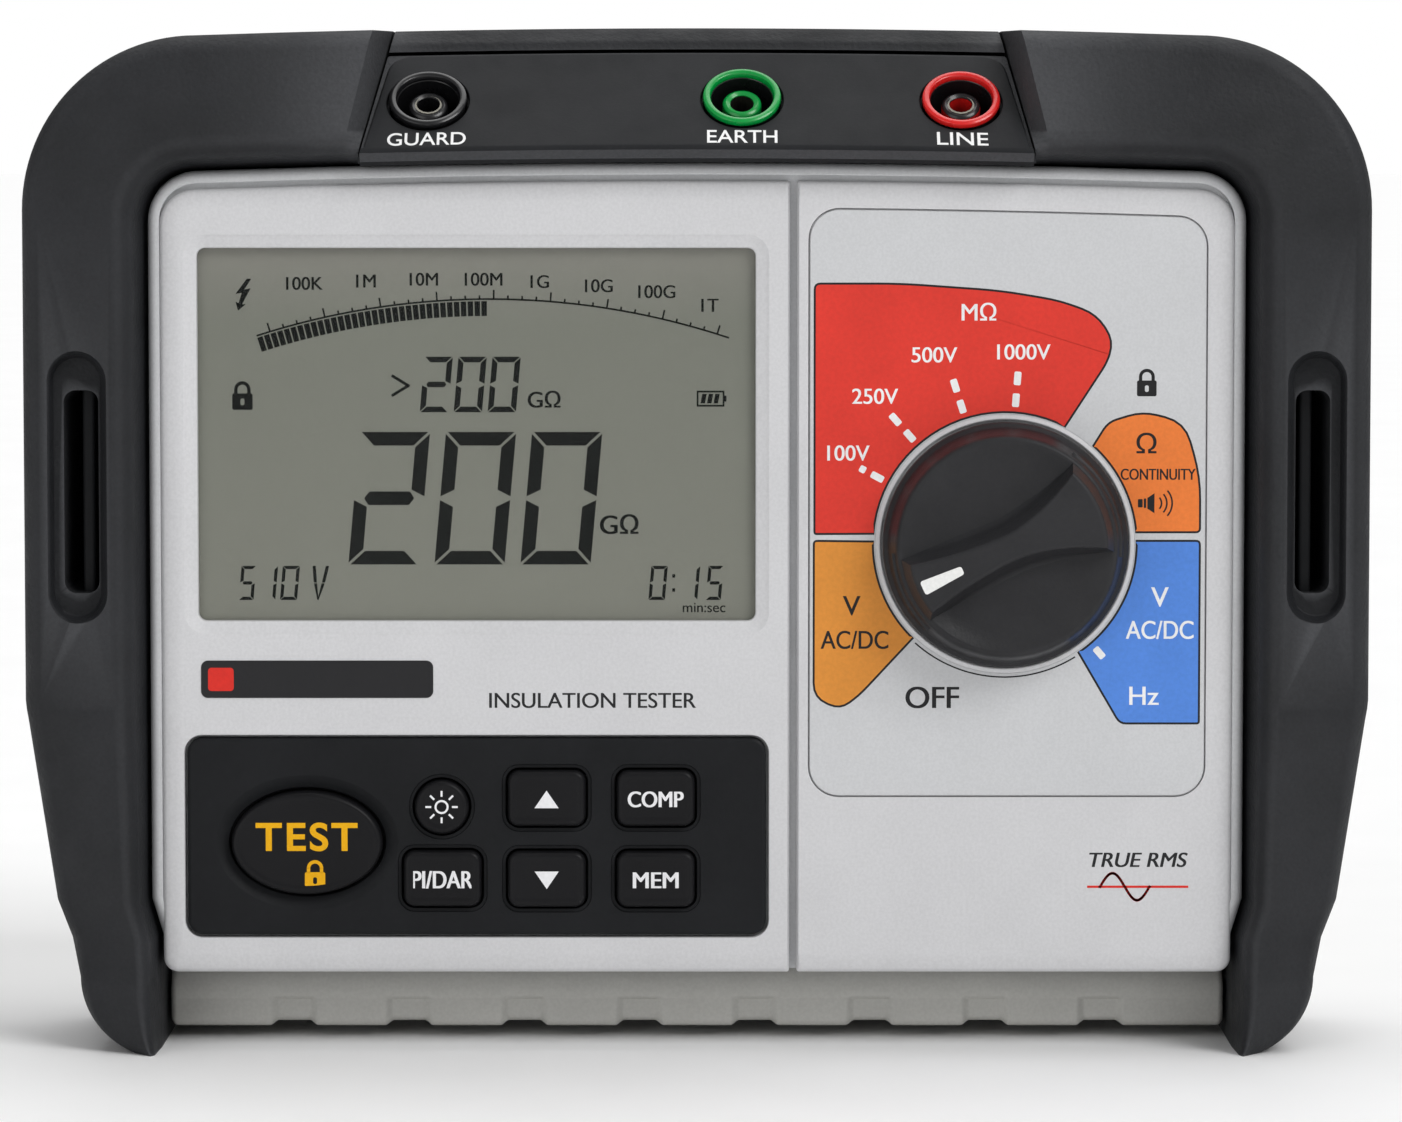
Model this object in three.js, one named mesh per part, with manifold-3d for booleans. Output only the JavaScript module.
// Insulation resistance tester with rubber armour, terminal panel, selector, keypad and a fold-under lid.
// Millimetres. X runs to the right, Y runs back from the face, Z runs up from the feet.
// Depths in Y are written from the plane of the face, and the whole model is centred in Y at the end.

import * as THREE from "three";
import { mergeVertices } from "three/addons/utils/BufferGeometryUtils.js";
import Module from "manifold-3d";

const wasm = await Module();
wasm.setup();

// ---------------------------------------------------------------- driving dimensions

const HALF_WIDTH = 114; // half of the overall width, across the armour
const CROWN = 173.9; // height of the bowed top at the middle
const ARCH_RADIUS = 2400; // every top edge bows by the same large radius
const GAP = 0.3; // clearance left between pieces that touch
const WALL = 2.2; // wall of the moulded shells
const CORNER_STEPS = 4; // facets in a rounded corner
const ROUND = 20; // facets in a small round piece

// Depths, from the plane of the face at 0.
const KNOB_FRONT = -12.5;
const RIDGE = -6; // foremost line of the armour
const SHELL_BACK = 22.8;
const ARMOUR_BACK = 24;
const REAR_FRONT = ARMOUR_BACK + GAP;
const REAR_BACK = 46;
const REAR_FLOOR = 42.6; // inner face of the rear shell's back wall
const FOOT_BACK = 44;
const LID_FRONT = 46.8;
const LID_BACK = 61.8;

// Armour: an outer outline, an inner outline, and a section drawn between the two.
const SHOULDER_RADIUS = 29.5;
const INNER_HALF = 93.2; // half of the opening between the armour's inner walls
const INNER_CROWN = 151.4;
const INNER_RADIUS = 8.8;
const TAPER_TOP = 58.5; // the sides are upright down to here
const TAPER_FOOT = 24.3;
const TAPER_HALF = 108.5; // half width at the foot of the taper
const ANKLE = { half: 105, height: 12.73 }; // where the taper meets the round of the foot
const FOOT_INNER = 91.5;
const FOOT_RADIUS = 13.5;
const LEG_TOP = 23.4;

// Terminal panel: a plate that leans back, between the ends of the two armour halves.
const PANEL_TILT = THREE.MathUtils.degToRad(46);
const PANEL_FOOT = { y: -5.5, z: 153.6 };
const PANEL_TOP = 169.9;
const PANEL_THICK = 2.5;
const PANEL_HALF = 57; // half width at the lower edge
const PANEL_LEAN = 0.2446; // how fast the ends draw in with height
const PANEL_BASE = 151.5;

// Grey case and its face.
const SHELL = { half: 92.9, bottom: 13.9, crown: 151.1, radius: 8.5, tuck: 2, tuckLow: 19.5, tuckHigh: 26 };
const UNDERSIDE = 16.6; // underside of the case behind its front lip
const FACE = { left: -90.8, right: 90.8, bottom: 13.5, crown: 148, radius: 6, footRadius: 2.5 };
const FACE_THICK = 2.2;
const GROOVE = { left: 15.7, right: 16.9 };
const WINDOW = { left: -84.8, right: 10.2, bottom: 73.2, top: 136.9, radius: 1.4 };
const WINDOW_BEVEL = 2.2;
const KEYPAD = { left: -86.5, right: 11.7, bottom: 20, top: 53.6, radius: 2.5 };
const LABEL = { left: 19.1, right: 86, bottom: 43.8, crown: 143.2, radius: 5 };
const BOSSES = [-1, 1].flatMap((side) => [62, 143].map((z) => ({ x: 84 * side, z })));

// Selector.
const DIAL = { x: 52.1, z: 86.6 };
const KNOB_RADIUS = 20.7;
const KNOB_RIM = 18.6;
const POINTER_ANGLE = THREE.MathUtils.degToRad(205);

// Lid: it hangs on a spine that turns on pins in the feet.
const SPINE_AXIS = { y: 20.65, z: 7.5 };
const LID_AXIS = { y: 51.8, z: 7.5 };
const SPINE_HALF = 90;
const KNUCKLE = 65.4; // half length of the lid's barrel
const BARREL_RADIUS = 5;
const PIN_RADIUS = 1.5;
const LID = { left: -90, right: 90, bottom: 14.2, crown: 147, radius: 8, footRadius: 3 };

// Batteries.
const CELL = { radius: 7.1, length: 50, pitch: 15.4, y: 34.2, z: 63, count: 6 };
const TRAY = { half: 47.6, bottom: 35.5, top: 90.5, front: 26, back: 42 };
const COVER = { left: -52, right: 52, bottom: 29.5, top: 96.5, radius: 3 };
const COVER_SCREW_Z = [32.5, 93.5];

// ---------------------------------------------------------------- outlines, drawn in X and Z

const point = (x, z) => new THREE.Vector2(x, z);
const archAt = (x, crown) => crown - (x * x) / (2 * ARCH_RADIUS);

// Points on an arc, angles in degrees, both ends included.
function arc(x, z, radius, from, to, steps = CORNER_STEPS) {
  return Array.from({ length: steps + 1 }, (_, i) => {
    const angle = THREE.MathUtils.degToRad(from + ((to - from) * i) / steps);
    return point(x + radius * Math.cos(angle), z + radius * Math.sin(angle));
  });
}

function rectangle({ left, right, bottom, top, radius }, inset = 0) {
  const r = Math.max(radius - inset, GAP);
  const [x0, x1, z0, z1] = [left + inset, right - inset, bottom + inset, top - inset];
  return [
    ...arc(x0 + r, z0 + r, r, 180, 270),
    ...arc(x1 - r, z0 + r, r, 270, 360),
    ...arc(x1 - r, z1 - r, r, 0, 90),
    ...arc(x0 + r, z1 - r, r, 90, 180),
  ];
}

// A rectangle whose top edge bows with the top of the case.
function panel({ left, right, bottom, crown, radius, footRadius = radius }, inset = 0) {
  const r = Math.max(radius - inset, GAP);
  const foot = Math.max(footRadius - inset, GAP);
  const [x0, x1, z0] = [left + inset, right - inset, bottom + inset];
  const top = (x) => archAt(x, crown - inset);
  const between = [0.75, 0.5, 0.25].map((share) => x0 + r + share * (x1 - x0 - 2 * r));
  return [
    ...arc(x0 + foot, z0 + foot, foot, 180, 270),
    ...arc(x1 - foot, z0 + foot, foot, 270, 360),
    ...arc(x1 - r, top(x1 - r) - r, r, 0, 90),
    ...between.map((x) => point(x, top(x))),
    ...arc(x0 + r, top(x0 + r) - r, r, 90, 180),
  ];
}

// Right-hand points, from the bottom up, joined to their mirror image over the crown.
function symmetric(right, crown) {
  const quarter = right[right.length - 1].x / 2;
  const over = [quarter, 0, -quarter].map((x) => point(x, archAt(x, crown)));
  return [...right, ...over, ...right.map((p) => point(-p.x, p.y)).reverse()];
}

function topCorner(half, crown, radius) {
  const x = half - radius;
  return arc(x, archAt(x, crown) - radius, radius, 0, 90);
}

// The case tucks in between the feet near its lower edge.
function shellOutline(inset, bottom = SHELL.bottom) {
  const half = SHELL.half - inset;
  const narrow = half - SHELL.tuck;
  const foot = 2;
  const right = [
    ...arc(narrow - foot, bottom + inset + foot, foot, 270, 360, 3),
    point(narrow, SHELL.tuckLow + inset),
    point(half, SHELL.tuckHigh),
    ...topCorner(half, SHELL.crown - inset, SHELL.radius - inset),
  ];
  return symmetric(right, SHELL.crown - inset);
}

// The rear shell stands 0.9 mm proud of the armour's taper and ends above the legs.
function rearOutline(inset) {
  const shelf = 23.8;
  const proud = 0.9;
  const narrow = SHELL.half - SHELL.tuck;
  const right = [
    point(narrow - inset, UNDERSIDE + inset),
    point(narrow - inset, shelf + inset),
    point(TAPER_HALF + proud - inset, shelf + inset),
    point(HALF_WIDTH - inset, TAPER_TOP),
    ...topCorner(HALF_WIDTH - inset, CROWN - inset, SHOULDER_RADIUS - inset),
  ];
  return symmetric(right, CROWN - inset);
}

function ellipse(x, z, halfWide, halfHigh, steps = 28) {
  return Array.from({ length: steps }, (_, i) => {
    const angle = (2 * Math.PI * i) / steps;
    return point(x + halfWide * Math.cos(angle), z + halfHigh * Math.sin(angle));
  });
}

// ---------------------------------------------------------------- solids

// A closed skin over loops of equal length, capped at both ends as the flat outline is triangulated.
function skin(loops, flat) {
  const count = flat.length;
  const indices = [];
  for (let i = 0; i + 1 < loops.length; i++) {
    for (let k = 0; k < count; k++) {
      const here = i * count + k;
      const next = i * count + ((k + 1) % count);
      indices.push(here, here + count, next + count, here, next + count, next);
    }
  }
  const last = (loops.length - 1) * count;
  const clockwise = THREE.ShapeUtils.isClockWise(flat);
  for (const [a, b, c] of THREE.ShapeUtils.triangulateShape(flat, [])) {
    const [second, third] = clockwise ? [c, b] : [b, c];
    indices.push(a, second, third, last + a, last + third, last + second);
  }
  const geometry = new THREE.BufferGeometry().setFromPoints(loops.flat());
  geometry.setIndex(indices);
  return geometry;
}

// Outlines stacked from front to back, each given as [outline, depth].
function stack(...rings) {
  const loops = rings.map(([outline, y]) => outline.map((p) => new THREE.Vector3(p.x, y, p.y)));
  return solid(skin(loops, rings[0][0]));
}

const slab = (outline, front, back) => stack([outline, front], [outline, back]);

// A profile drawn in Y and Z, run between two places in X.
function prism(profile, from, to) {
  const loops = [from, to].map((x) => profile.map((p) => new THREE.Vector3(x, p.x, p.y)));
  return solid(skin(loops, profile));
}

// Any closed geometry as a solid, with its faces turned outwards.
function solid(geometry) {
  const bare = geometry.clone();
  bare.deleteAttribute("normal");
  bare.deleteAttribute("uv");
  const merged = mergeVertices(bare, 1e-4);
  const vertProperties = merged.attributes.position.array;
  const triVerts = new Uint32Array(merged.index.array);
  const made = new wasm.Manifold(new wasm.Mesh({ numProp: 3, vertProperties, triVerts }));
  if (made.volume() > 0) return made;
  for (let i = 0; i < triVerts.length; i += 3) {
    [triVerts[i + 1], triVerts[i + 2]] = [triVerts[i + 2], triVerts[i + 1]];
  }
  return new wasm.Manifold(new wasm.Mesh({ numProp: 3, vertProperties, triVerts }));
}

function geometryOf(shape) {
  const { vertProperties, triVerts } = shape.getMesh();
  const geometry = new THREE.BufferGeometry();
  geometry.setAttribute("position", new THREE.BufferAttribute(new Float32Array(vertProperties), 3));
  geometry.setIndex(new THREE.BufferAttribute(new Uint32Array(triVerts), 1));
  return geometry;
}

function block(x0, x1, y0, y1, z0, z1) {
  const box = new THREE.BoxGeometry(x1 - x0, y1 - y0, z1 - z0);
  return solid(box.translate((x0 + x1) / 2, (y0 + y1) / 2, (z0 + z1) / 2));
}

// A round bar along Y, X or Z.
function barY(radius, front, back, x, z, facets = ROUND) {
  const bar = new THREE.CylinderGeometry(radius, radius, back - front, facets);
  return solid(bar.translate(x, (front + back) / 2, z));
}

function barX(radius, left, right, y, z, facets = ROUND) {
  const bar = new THREE.CylinderGeometry(radius, radius, right - left, facets);
  return solid(bar.rotateZ(Math.PI / 2).translate((left + right) / 2, y, z));
}

function barZ(radius, bottom, top, x, y, facets = ROUND) {
  const bar = new THREE.CylinderGeometry(radius, radius, top - bottom, facets);
  return solid(bar.rotateX(Math.PI / 2).translate(x, y, (bottom + top) / 2));
}

// A profile of [radius, depth] pairs turned about the Y axis.
function turned(profile, facets = ROUND) {
  const points = profile.map(([radius, y]) => new THREE.Vector2(radius, y));
  return solid(new THREE.LatheGeometry(points, facets));
}

const cut = (body, ...tools) => tools.reduce((left, tool) => left.subtract(tool), body);
const join = (body, ...others) => others.reduce((whole, other) => whole.add(other), body);

// ---------------------------------------------------------------- materials and meshes

function finish(color, roughness, metalness = 0) {
  return new THREE.MeshStandardMaterial({ color, roughness, metalness });
}

const rubber = finish(0x2b2c2f, 0.85);
const blackPlastic = finish(0x1d1e20, 0.55);
const caseGrey = finish(0x9c9da0, 0.6);
const faceGrey = finish(0xcdcdcf, 0.55);
const spineGrey = finish(0x96958f, 0.65);
const glossBlack = finish(0x101012, 0.25);
const whitePlastic = finish(0xf2f2f2, 0.4);
const greenPlastic = finish(0x00a04b, 0.35);
const redPlastic = finish(0xe12d28, 0.35);
const displayGlass = finish(0x7d7f73, 0.1);
const boardGreen = finish(0x1f5a3a, 0.6);
const steel = finish(0xb9bcc0, 0.3, 1);
const nickel = finish(0xc9c6bd, 0.25, 1);
const cellSleeve = finish(0x2f5f8f, 0.4);

const model = new THREE.Group();

function add(name, shape, material, parent = model) {
  const geometry = geometryOf(shape);
  geometry.computeVertexNormals();
  const mesh = new THREE.Mesh(geometry, material);
  mesh.name = name;
  parent.add(mesh);
  return mesh;
}

// ---------------------------------------------------------------- armour

const panelEnd = (z, clearance = 0) => PANEL_HALF + clearance - PANEL_LEAN * (z - PANEL_BASE);
const panelDepth = (z) => PANEL_FOOT.y + (z - PANEL_FOOT.z) * Math.tan(PANEL_TILT);

// The armour's section: share of the way from the inner to the outer outline, and depth.
const SECTION = [
  { share: 0, y: 5 },
  { share: 0.087, y: -4.3 },
  { share: 0.2, y: RIDGE },
  { share: 0.918, y: -1.8 },
  { share: 1, y: 0.5 },
  { share: 1, y: ARMOUR_BACK },
  { share: 0, y: ARMOUR_BACK },
];

// Stations of the right half, from the terminal panel over the shoulder and down to the foot.
function armourStations() {
  const station = (outer, inner) => ({ outer, inner });
  const over = (x) => point(x, archAt(x, CROWN));
  const under = (x) => point(x, archAt(x, INNER_CROWN));
  const shoulder = topCorner(HALF_WIDTH, CROWN, SHOULDER_RADIUS).reverse();
  const inside = topCorner(INNER_HALF, INNER_CROWN, INNER_RADIUS).reverse();
  const footArc = arc(FOOT_INNER, ANKLE.height, FOOT_RADIUS, 0, -70.55, 6);
  return [
    station(over(panelEnd(CROWN - 0.6, GAP)), under(PANEL_HALF + GAP)),
    station(over(54.6), under(60)),
    station(over(70), under(72)),
    ...shoulder.map((p, i) => station(p, inside[i])),
    station(point(HALF_WIDTH, TAPER_TOP), point(INNER_HALF, TAPER_TOP)),
    station(point(TAPER_HALF + 0.3, SHELL.tuckHigh), point(INNER_HALF, SHELL.tuckHigh)),
    station(point(106.3, SHELL.tuckLow), point(FOOT_INNER, SHELL.tuckLow)),
    ...footArc.map((p) => station(p, point(FOOT_INNER, Math.max(p.y, 0)))),
  ];
}

function armourSweep() {
  const loops = armourStations().map(({ outer, inner }, i) =>
    SECTION.map(({ share, y }) => {
      const place = inner.clone().lerp(outer, share);
      const flush = i === 0 && y < ARMOUR_BACK ? Math.max(y, panelDepth(place.y)) : y;
      return new THREE.Vector3(place.x, flush, Math.max(place.y, 0));
    }),
  );
  return solid(skin(loops, SECTION.map(({ share, y }) => point(share * 20, y))));
}

// The leg's rear half, which carries the foot back under the rear shell.
function legBlock() {
  const outline = [
    point(FOOT_INNER, 0),
    ...arc(FOOT_INNER, ANKLE.height, FOOT_RADIUS, -70.55, 0, 6),
    point(106.6, 20.4),
    point(107.9, LEG_TOP),
    point(92.5, LEG_TOP),
    point(FOOT_INNER, SHELL.tuckLow),
  ].map((p) => point(p.x, Math.max(p.y, 0)));
  return slab(outline, 18, FOOT_BACK);
}

const STRAP_RECESS = { left: 100.9, right: 108.8, bottom: 74.6, top: 118.1, radius: 3.9 };
const STRAP_SLOT = { left: 101.2, right: 107.1, bottom: 78.2, top: 112.6, radius: 2 };
const STRAP_BAR = { left: 102.2, right: 104.3, bottom: 76, top: 114.8, front: 4, back: 8 };

function armour() {
  const bar = STRAP_BAR;
  return cut(
    join(armourSweep(), legBlock()),
    slab(rectangle(STRAP_RECESS), RIDGE - 1, 0.4),
    slab(rectangle(STRAP_SLOT), RIDGE - 1, ARMOUR_BACK + 1),
    block(bar.left - GAP, bar.right + GAP, bar.front - GAP, bar.back + GAP, bar.bottom - GAP, bar.top + GAP),
    barX(2.3, FOOT_INNER - 1, FOOT_INNER + 6.3, SPINE_AXIS.y, SPINE_AXIS.z),
  );
}

// A shape made for the right side, turned over to the left.
const mirrored = (shape) => solid(geometryOf(shape).scale(-1, 1, 1));

function strapBar() {
  const bar = STRAP_BAR;
  return block(bar.left, bar.right, bar.front, bar.back, bar.bottom, bar.top);
}

// ---------------------------------------------------------------- terminal panel and sockets

function socketPanel() {
  const inward = point(Math.cos(PANEL_TILT), -Math.sin(PANEL_TILT)).multiplyScalar(PANEL_THICK);
  const inner = (z) => panelDepth(z - inward.y) + inward.x;
  const ceiling = PANEL_TOP - PANEL_THICK;
  const lip = 154.5;
  const shelf = { back: 2, top: PANEL_BASE + 1.2 };
  const profile = [
    point(PANEL_FOOT.y + 2.1, PANEL_BASE),
    point(PANEL_FOOT.y, PANEL_FOOT.z),
    point(panelDepth(PANEL_TOP), PANEL_TOP),
    point(ARMOUR_BACK - 0.1, PANEL_TOP),
    point(ARMOUR_BACK - 0.1, ceiling),
    point(inner(ceiling), ceiling),
    point(inner(lip), lip),
    point(inner(lip), shelf.top),
    point(shelf.back, shelf.top),
    point(shelf.back, PANEL_BASE),
  ];
  const plate = bowed(profile);
  const holes = SOCKETS.map(({ x }) => alongSocket(turned([[0, -4], [6.5, -4], [6.5, 6], [0, 6]]), x));
  return cut(plate, ...holes);
}

// A profile in Y and Z run from end to end of the panel, bowed like the rest of the top.
function bowed(profile) {
  const loops = [-1, -0.5, 0, 0.5, 1].map((share) =>
    profile.map((p) => {
      const x = share * panelEnd(p.y);
      return new THREE.Vector3(x, p.x, p.y + archAt(x, 0));
    }),
  );
  return solid(skin(loops, profile));
}

// Rail over the panel, with a bevelled front.
function terminalRail() {
  const foot = PANEL_TOP + GAP;
  const front = panelDepth(PANEL_TOP);
  return bowed([
    point(front + 0.4, foot),
    point(front + 1.2, foot + 1.5),
    point(front + 4, CROWN - 0.2),
    point(front + 5, CROWN),
    point(ARMOUR_BACK, CROWN),
    point(ARMOUR_BACK, foot),
  ]);
}

const SOCKETS = [
  { name: "guard", x: -45.4, material: glossBlack },
  { name: "earth", x: 7.6, material: greenPlastic },
  { name: "line", x: 44.6, material: redPlastic },
];
const SOCKET_Z = 161.7;

// Depths below are along the socket's axis, from the panel's surface inwards.
const SOCKET_PROFILE = [
  [6.65, -1.1],
  [6.65, -0.3],
  [6.2, -0.3],
  [6.2, 15],
  [1.5, 15],
  [1.5, 13],
  [2.65, 13],
  [2.65, 0.9],
  [2.1, 0.9],
  [2.1, 0.1],
  [3.3, 0.1],
  [3.3, 11],
  [5.2, 11],
  [5.2, -0.7],
  [5.6, -1.1],
  [6.65, -1.1],
];
const CONTACT_PROFILE = [
  [0, 11.5],
  [2, 11.5],
  [2, 1.2],
  [2.35, 1.2],
  [2.35, 12.7],
  [1.2, 12.7],
  [1.2, 18],
  [0, 18],
];

// Carries a shape turned about Y to a socket's place in the panel.
function alongSocket(shape, x) {
  return solid(geometryOf(shape).rotateX(-PANEL_TILT).translate(x, panelDepth(SOCKET_Z), SOCKET_Z));
}

function addSocket({ name, x, material }) {
  const seat = new THREE.Group();
  seat.position.set(x, panelDepth(SOCKET_Z), SOCKET_Z);
  seat.rotation.x = -PANEL_TILT;
  add(`socket_${name}`, turned(SOCKET_PROFILE), material, seat);
  add(`contact_${name}`, turned(CONTACT_PROFILE, 16), nickel, seat);
  model.add(seat);
}

// ---------------------------------------------------------------- case, face and display

function frontShell() {
  const wallFront = FACE_THICK + GAP;
  const wallBack = wallFront + WALL;
  const body = cut(
    stack([shellOutline(1.5), 0.9], [shellOutline(0), 3.6], [shellOutline(0), SHELL_BACK]),
    slab(panel(FACE, -GAP), -1, wallFront),
    slab(shellOutline(WALL, UNDERSIDE), wallBack, SHELL_BACK + 1),
    block(-HALF_WIDTH, HALF_WIDTH, 7, SHELL_BACK + 1, 0, UNDERSIDE),
  );
  const columns = BOSSES.map(({ x, z }) => barY(4, wallBack - 0.5, SHELL_BACK, x, z, 16));
  return cut(
    join(body, ...columns),
    slab(rectangle(WINDOW, 1.3), 0, wallBack + 1),
    slab(rectangle(KEYPAD, 2), 0, wallBack + 1),
    barY(3.4, 0, wallBack + 1, DIAL.x, DIAL.z),
    ...BOSSES.map(({ x, z }) => barY(1.9, 12, SHELL_BACK + 1, x, z, 12)),
    ...SOCKETS.map(({ x }) => alongSocket(turned([[0, -4], [6.6, -4], [6.6, 20], [0, 20]]), x)),
  );
}

function facePlate() {
  return stack([panel(FACE, 0.9), 0], [panel(FACE), 0.9], [panel(FACE), FACE_THICK]);
}

function displayPlate() {
  const bevel = stack([rectangle(WINDOW, -WINDOW_BEVEL - 0.4), -0.15], [rectangle(WINDOW), 0.9]);
  return cut(
    facePlate(),
    block(GROOVE.left, HALF_WIDTH, -1, 4, 0, CROWN),
    bevel,
    slab(rectangle(WINDOW), 0, 4),
    slab(rectangle(KEYPAD, -0.4), -1, 4),
  );
}

function dialPlate() {
  const ring = { inner: 21, outer: 21.7, front: -0.5 };
  const lip = cut(barY(ring.outer, ring.front, 1, DIAL.x, DIAL.z, 48), barY(ring.inner, -2, 2, DIAL.x, DIAL.z, 48));
  const recessed = cut(
    facePlate(),
    block(-HALF_WIDTH, GROOVE.right, -1, 4, 0, CROWN),
    slab(panel(LABEL, -GAP), -1, 0.7),
  );
  return cut(join(recessed, lip), barY(3.4, -1, 4, DIAL.x, DIAL.z));
}

function dialLabel() {
  return cut(slab(panel(LABEL), 0, 0.4), barY(22, -1, 1, DIAL.x, DIAL.z, 48));
}

const displayWindow = () => slab(rectangle(WINDOW, GAP), 0.9, FACE_THICK);
const displayModule = () => slab(rectangle(WINDOW, 1.8), FACE_THICK + 0.4, 7.4);

function displayFrame() {
  const back = FACE_THICK + GAP + WALL + GAP;
  return cut(slab(rectangle(WINDOW, -1), back, 8.4), slab(rectangle(WINDOW, 1.5), back - 1, 9));
}

function rearShell() {
  const body = cut(
    stack([rearOutline(0), REAR_FRONT], [rearOutline(0), REAR_BACK - 4], [rearOutline(1.2), REAR_BACK - 1.2],
      [rearOutline(3), REAR_BACK]),
    slab(rearOutline(2.4), REAR_FRONT - 1, REAR_FLOOR),
  );
  const columns = BOSSES.map(({ x, z }) => barY(5.6, REAR_FRONT + 1, REAR_FLOOR + 1, x, z, 16));
  return cut(
    join(body, ...columns),
    slab(rectangle(COVER, 4), REAR_FLOOR - 1, REAR_BACK + 1),
    slab(rectangle(COVER, -GAP), REAR_BACK - 1.7, REAR_BACK + 1),
    ...BOSSES.map(({ x, z }) => barY(1.9, REAR_FRONT - 1, REAR_BACK, x, z, 12)),
    ...BOSSES.map(({ x, z }) => barY(3.9, 40, REAR_BACK + 1, x, z, 16)),
    ...COVER_SCREW_Z.map((z) => barY(1.5, REAR_FLOOR - 1, REAR_BACK, 0, z, 12)),
  );
}

function gasket() {
  const bottom = UNDERSIDE;
  const [front, back] = [SHELL_BACK + GAP, ARMOUR_BACK];
  return cut(slab(shellOutline(0.2, bottom), front, back), slab(shellOutline(1.9, bottom), front - 1, back + 1));
}

// ---------------------------------------------------------------- keypad

const SMALL_KEY = { wide: 13.2, high: 9.5, radius: 1.9 };
const KEYS = [
  { name: "key_test", x: -66.2, z: 35.8, wide: 25.6, high: 17.6, oval: true },
  { name: "key_backlight", x: -43.3, z: 41.9, wide: 9.2, high: 9.2, oval: true },
  { name: "key_pi_dar", x: -43.2, z: 29.7, ...SMALL_KEY },
  { name: "key_up", x: -25.5, z: 43.4, ...SMALL_KEY },
  { name: "key_down", x: -25.5, z: 29.6, ...SMALL_KEY },
  { name: "key_comp", x: -7, z: 43.4, ...SMALL_KEY },
  { name: "key_mem", x: -7, z: 29.6, ...SMALL_KEY },
];
const BEZEL_FRONT = -0.3;
const KEY_FRONT = -1.7;
const KEY_BACK = 2.4;

function keyOutline({ x, z, wide, high, oval, radius }, inset = 0) {
  if (oval) return ellipse(x, z, wide / 2 - inset, high / 2 - inset);
  const edges = { left: x - wide / 2, right: x + wide / 2, bottom: z - high / 2, top: z + high / 2, radius };
  return rectangle(edges, inset);
}

function keyCap(key) {
  return stack(
    [keyOutline(key, 0.9), KEY_FRONT],
    [keyOutline(key, 0.2), KEY_FRONT + 0.4],
    [keyOutline(key), KEY_FRONT + 1.1],
    [keyOutline(key), KEY_BACK],
  );
}

function keypadBezel() {
  const plate = stack([rectangle(KEYPAD, 0.6), BEZEL_FRONT], [rectangle(KEYPAD), 0.3], [rectangle(KEYPAD), FACE_THICK]);
  return cut(plate, ...KEYS.map((key) => slab(keyOutline(key, -0.35), -2, 4)));
}

const keypadMat = () => slab(rectangle(KEYPAD, 2.4), 4.1, 5);

// ---------------------------------------------------------------- selector

// The grip is waisted: narrow in the middle, wider at the pointer end and widest at the tail.
function gripOutline(inset) {
  const [reach, pointer, waist, tail] = [18.2 - inset, 6.25 - inset, 4.1 - inset, 8.85 - inset];
  const edge = [-1, -0.8, -0.55, -0.3, 0, 0.3, 0.55, 0.8, 1].map((share) => {
    const end = share > 0 ? pointer : tail;
    return { share, width: waist + (end - waist) * share * share };
  });
  const turn = (u, v) =>
    point(
      DIAL.x + u * Math.cos(POINTER_ANGLE) - v * Math.sin(POINTER_ANGLE),
      DIAL.z + u * Math.sin(POINTER_ANGLE) + v * Math.cos(POINTER_ANGLE),
    );
  const along = (share, width) => share * Math.sqrt(reach * reach - (Math.abs(share) === 1 ? width * width : 0));
  const lower = edge.map(({ share, width }) => turn(along(share, width), -width));
  const upper = edge.map(({ share, width }) => turn(along(share, width), width)).reverse();
  return [...lower, ...upper];
}

function knob() {
  const skirt = turned(
    [[0, -0.5], [KNOB_RADIUS, -0.5], [KNOB_RADIUS, -2.4], [KNOB_RADIUS - 0.9, -3.4], [KNOB_RIM, -8.4],
      [KNOB_RIM - 1, -9], [KNOB_RIM - 3.4, -7.6], [0, -7]],
    48,
  );
  const seated = solid(geometryOf(skirt).translate(DIAL.x, 0, DIAL.z));
  const grip = stack([gripOutline(1.4), KNOB_FRONT], [gripOutline(0.7), KNOB_FRONT + 0.9], [gripOutline(0), -6]);
  const shaftHole = barY(3.3, -8.6, 0, DIAL.x, DIAL.z);
  return cut(join(seated, grip), shaftHole, slab(pointerOutline(-GAP), KNOB_FRONT - 1, KNOB_FRONT + 1));
}

// White insert near the pointer end of the grip, a little wider towards the rim.
function pointerOutline(inset) {
  const [near, far, halfNear, halfFar] = [8.4 + inset, 16 - inset, 0.8 - inset, 1.3 - inset];
  return [[near, -halfNear], [far, -halfFar], [far, halfFar], [near, halfNear]].map(([u, v]) =>
    point(
      DIAL.x + u * Math.cos(POINTER_ANGLE) - v * Math.sin(POINTER_ANGLE),
      DIAL.z + u * Math.sin(POINTER_ANGLE) + v * Math.cos(POINTER_ANGLE),
    ),
  );
}

const selectorShaft = () => barY(3, -8.2, 13.5, DIAL.x, DIAL.z);
const selectorRotor = () => cut(barY(11, 6.4, 7.4, DIAL.x, DIAL.z), barY(3.3, 6, 8, DIAL.x, DIAL.z));

function switchBody() {
  const cup = barY(14, 5.4, 9.6, DIAL.x, DIAL.z, 32);
  return cut(cup, barY(11.6, 6.1, 7.8, DIAL.x, DIAL.z), barY(3.4, 5, 10, DIAL.x, DIAL.z));
}

// ---------------------------------------------------------------- electronics and batteries

const BOARD = { left: -78, right: 78, bottom: 22, top: 142, radius: 3, front: 10, back: 11.6 };

function mainBoard() {
  return cut(slab(rectangle(BOARD), BOARD.front, BOARD.back), barY(3.6, 9, 13, DIAL.x, DIAL.z));
}

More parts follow.
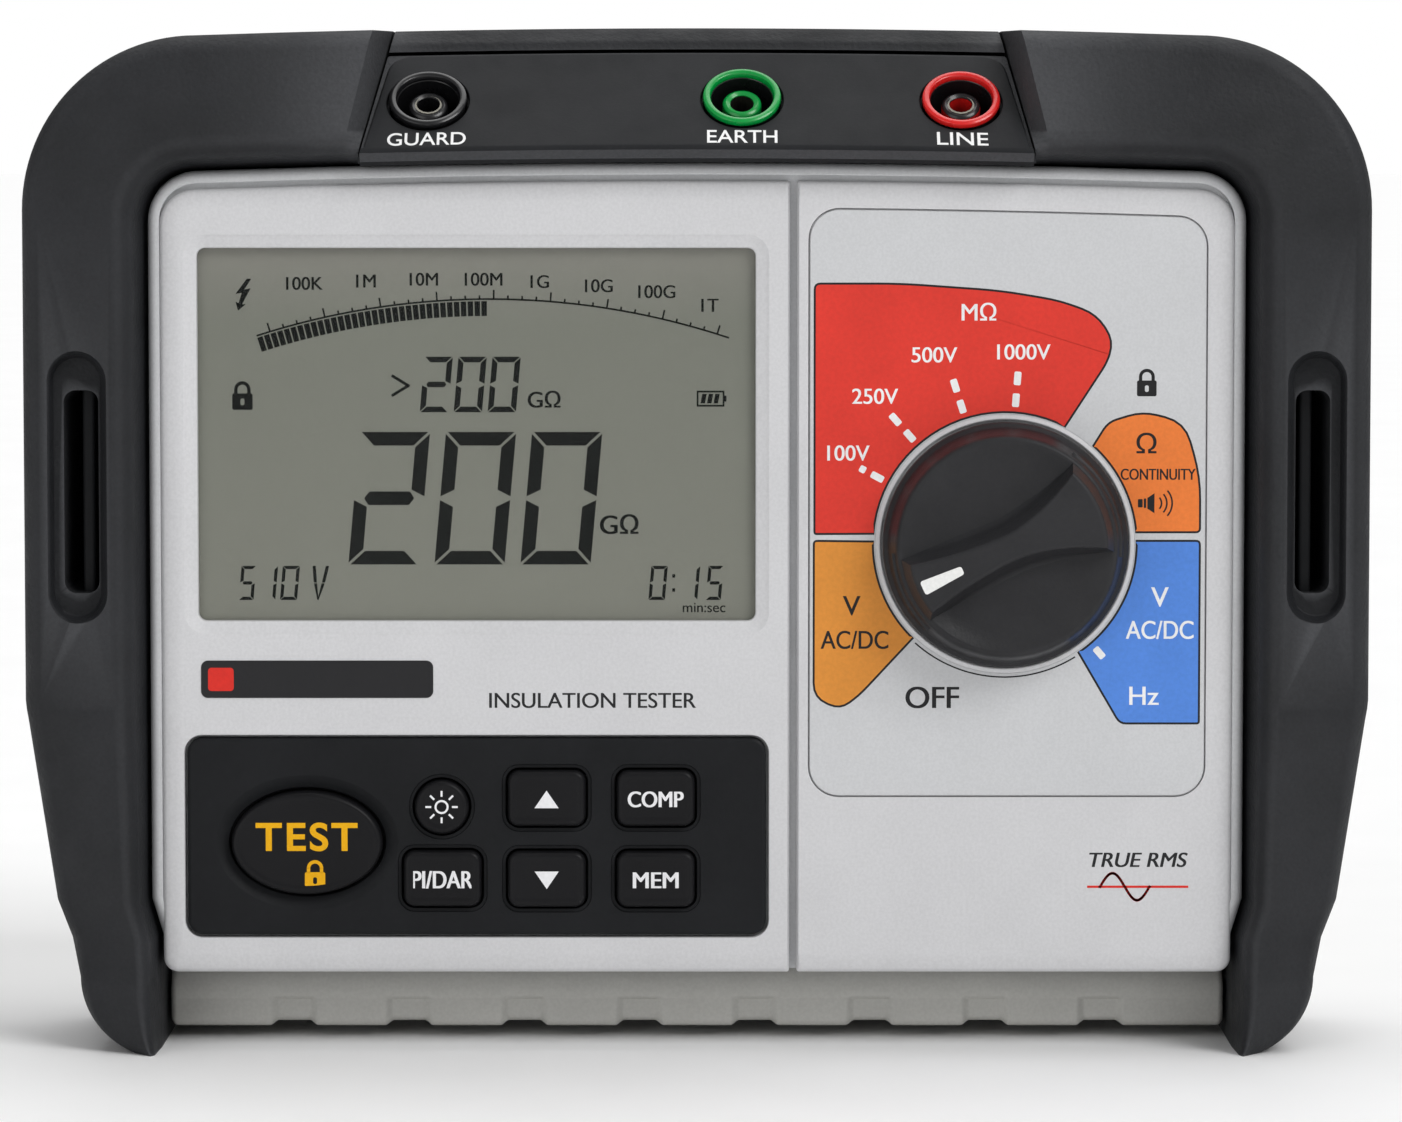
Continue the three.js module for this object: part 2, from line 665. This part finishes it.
const transformer = () => block(26, 54, 12, 28, 104, 130);
const buzzer = () => barY(9, 12, 18, 66, 58);
const fuse = () => barX(3.2, 20, 52, 16, 40, 16);

const cellX = (i) => (i - (CELL.count - 1) / 2) * CELL.pitch;

function batteryTray() {
  const body = block(-TRAY.half, TRAY.half, TRAY.front, TRAY.back, TRAY.bottom, TRAY.top);
  const reach = CELL.length / 2 + GAP;
  const half = CELL.radius + GAP;
  const bays = Array.from({ length: CELL.count }, (_, i) =>
    join(
      barZ(half, CELL.z - reach, CELL.z + reach, cellX(i), CELL.y),
      block(cellX(i) - half, cellX(i) + half, CELL.y, TRAY.back + 1, CELL.z - reach, CELL.z + reach),
    ),
  );
  return cut(body, ...bays);
}

// A cell with its raised button end; every other cell is turned over.
function cell(i) {
  const half = CELL.length / 2;
  const up = i % 2 ? 1 : -1;
  const sleeve = [half - 1.4, -half].map((z) => CELL.z + up * z);
  const button = [half, half - 2].map((z) => CELL.z + up * z);
  return join(
    barZ(CELL.radius, Math.min(...sleeve), Math.max(...sleeve), cellX(i), CELL.y, 16),
    barZ(2.7, Math.min(...button), Math.max(...button), cellX(i), CELL.y, 8),
  );
}

function batteryCover() {
  const plate = stack(
    [rectangle(COVER), REAR_BACK - 1.4],
    [rectangle(COVER), REAR_BACK - 0.4],
    [rectangle(COVER, 0.4), REAR_BACK],
  );
  const holes = COVER_SCREW_Z.map((z) => barY(1.5, REAR_FLOOR, REAR_BACK + 1, 0, z, 12));
  const seats = COVER_SCREW_Z.map((z) => barY(2.6, REAR_BACK - 0.9, REAR_BACK + 1, 0, z, 16));
  return cut(plate, ...holes, ...seats);
}

// A screw driven in from the back, its head at headBack.
function screw(x, z, headRadius, headThick, headBack, shankRadius, tip) {
  const headFront = headBack - headThick;
  const slot = block(x - 0.4, x + 0.4, headBack - 0.4, headBack + 1, z - headRadius, z + headRadius);
  return cut(
    join(barY(headRadius, headFront, headBack, x, z, 16), barY(shankRadius, tip, headFront + GAP, x, z, 12)),
    slot,
  );
}

// ---------------------------------------------------------------- lid and spine

// Shallow notches along the spine's lower front edge.
function spineNotches() {
  const pitch = 19.32;
  const depth = 1.1;
  const top = 6.7;
  const front = SPINE_AXIS.y - 5.75;
  return [-3.5, -2.5, -1.5, -0.5, 0.5, 1.5, 2.5, 3.5].map((share) => {
    const x = share * pitch;
    const wide = [point(x - 3.65, -1), point(x + 3.65, -1), point(x + 3.65, top + 0.6), point(x - 3.65, top + 0.6)];
    const slim = [point(x - 2.65, -1), point(x + 2.65, -1), point(x + 2.65, top), point(x - 2.65, top)];
    return stack([wide, front - 0.1], [slim, front + depth]);
  });
}

function lidSpine() {
  const { y, z } = SPINE_AXIS;
  const topArc = arc(y, z, 5.9, 90, 165, 6);
  const plateEnd = LID_AXIS.y - BARREL_RADIUS - 0.6;
  const profile = [
    point(y - 5.75, 3),
    point(y - 4.75, 2),
    point(plateEnd, 2),
    point(plateEnd, 11.5),
    point(y + 9, 11.5),
    ...topArc,
  ];
  const inner = KNUCKLE + GAP;
  const lugs = [[-SPINE_HALF, -inner], [inner, SPINE_HALF]].flatMap(([x0, x1]) => [
    barX(BARREL_RADIUS, x0, x1, LID_AXIS.y, LID_AXIS.z),
    block(x0, x1, plateEnd - 1, LID_AXIS.y, LID_AXIS.z - BARREL_RADIUS, LID_AXIS.z + 4),
  ]);
  return cut(
    join(prism(profile, -SPINE_HALF, SPINE_HALF), ...lugs),
    ...spineNotches(),
    barX(PIN_RADIUS + GAP, -SPINE_HALF - 1, SPINE_HALF + 1, LID_AXIS.y, LID_AXIS.z, 16),
    barX(2.3, -SPINE_HALF - 1, -SPINE_HALF + 9, y, z),
    barX(2.3, SPINE_HALF - 9, SPINE_HALF + 1, y, z),
  );
}

function lid() {
  const skinBack = LID_FRONT + 2;
  const tray = cut(
    stack([panel(LID, 2.6), LID_FRONT], [panel(LID, 0.8), LID_FRONT + 0.8], [panel(LID), LID_FRONT + 2.6],
      [panel(LID), LID_BACK]),
    slab(panel(LID, 2), skinBack, LID_BACK + 1),
  );
  const barrel = join(
    barX(BARREL_RADIUS, -KNUCKLE, KNUCKLE, LID_AXIS.y, LID_AXIS.z),
    block(-KNUCKLE, KNUCKLE, LID_FRONT, LID_AXIS.y, LID_AXIS.z, LID.bottom + 1.5),
  );
  return cut(join(tray, barrel), barX(PIN_RADIUS + GAP, -KNUCKLE - 1, KNUCKLE + 1, LID_AXIS.y, LID_AXIS.z, 16));
}

// ---------------------------------------------------------------- assembly

const rightArmour = armour();
add("armour_right", rightArmour, rubber);
add("armour_left", mirrored(rightArmour), rubber);
add("strap_bar_right", strapBar(), blackPlastic);
add("strap_bar_left", mirrored(strapBar()), blackPlastic);

add("terminal_rail", terminalRail(), blackPlastic);
add("socket_panel", socketPanel(), blackPlastic);
SOCKETS.forEach(addSocket);

add("front_shell", frontShell(), caseGrey);
add("case_gasket", gasket(), rubber);
add("rear_shell", rearShell(), blackPlastic);
add("face_plate_display", displayPlate(), faceGrey);
add("face_plate_dial", dialPlate(), faceGrey);
add("dial_label", dialLabel(), faceGrey);
add("lcd_window", displayWindow(), displayGlass);
add("lcd_module", displayModule(), displayGlass);
add("lcd_frame", displayFrame(), blackPlastic);

add("keypad_bezel", keypadBezel(), blackPlastic);
add("keypad_mat", keypadMat(), rubber);
KEYS.forEach((key) => add(key.name, keyCap(key), glossBlack));

add("selector_knob", knob(), blackPlastic);
add("knob_pointer", slab(pointerOutline(0), KNOB_FRONT, KNOB_FRONT + 0.7), whitePlastic);
add("selector_shaft", selectorShaft(), steel);
add("selector_rotor", selectorRotor(), nickel);
add("selector_switch_body", switchBody(), blackPlastic);

add("main_board", mainBoard(), boardGreen);
add("hv_transformer", transformer(), blackPlastic);
add("buzzer", buzzer(), blackPlastic);
add("fuse", fuse(), nickel);

add("battery_tray", batteryTray(), blackPlastic);
for (let i = 0; i < CELL.count; i++) add(`battery_cell_${i + 1}`, cell(i), cellSleeve);
add("battery_cover", batteryCover(), blackPlastic);
COVER_SCREW_Z.forEach((z, i) => {
  add(`battery_cover_screw_${i + 1}`, screw(0, z, 2.3, 0.6, REAR_BACK - 0.1, 1.2, 38), steel);
});
BOSSES.forEach(({ x, z }, i) => {
  add(`case_screw_${i + 1}`, screw(x, z, 3.5, 2.6, 43.2, 1.6, 14), steel);
});

add("lid_spine", lidSpine(), spineGrey);
add("lid", lid(), caseGrey);
add("lid_hinge_pin", barX(PIN_RADIUS, -88, 88, LID_AXIS.y, LID_AXIS.z, 16), steel);
add("spine_pin_right", barX(2, 82, 97, SPINE_AXIS.y, SPINE_AXIS.z, 16), steel);
add("spine_pin_left", barX(2, -97, -82, SPINE_AXIS.y, SPINE_AXIS.z, 16), steel);

// The origin lies under the middle of the box, on the surface that the feet stand on.
model.position.y = -(KNOB_FRONT + LID_BACK) / 2;

export default model;
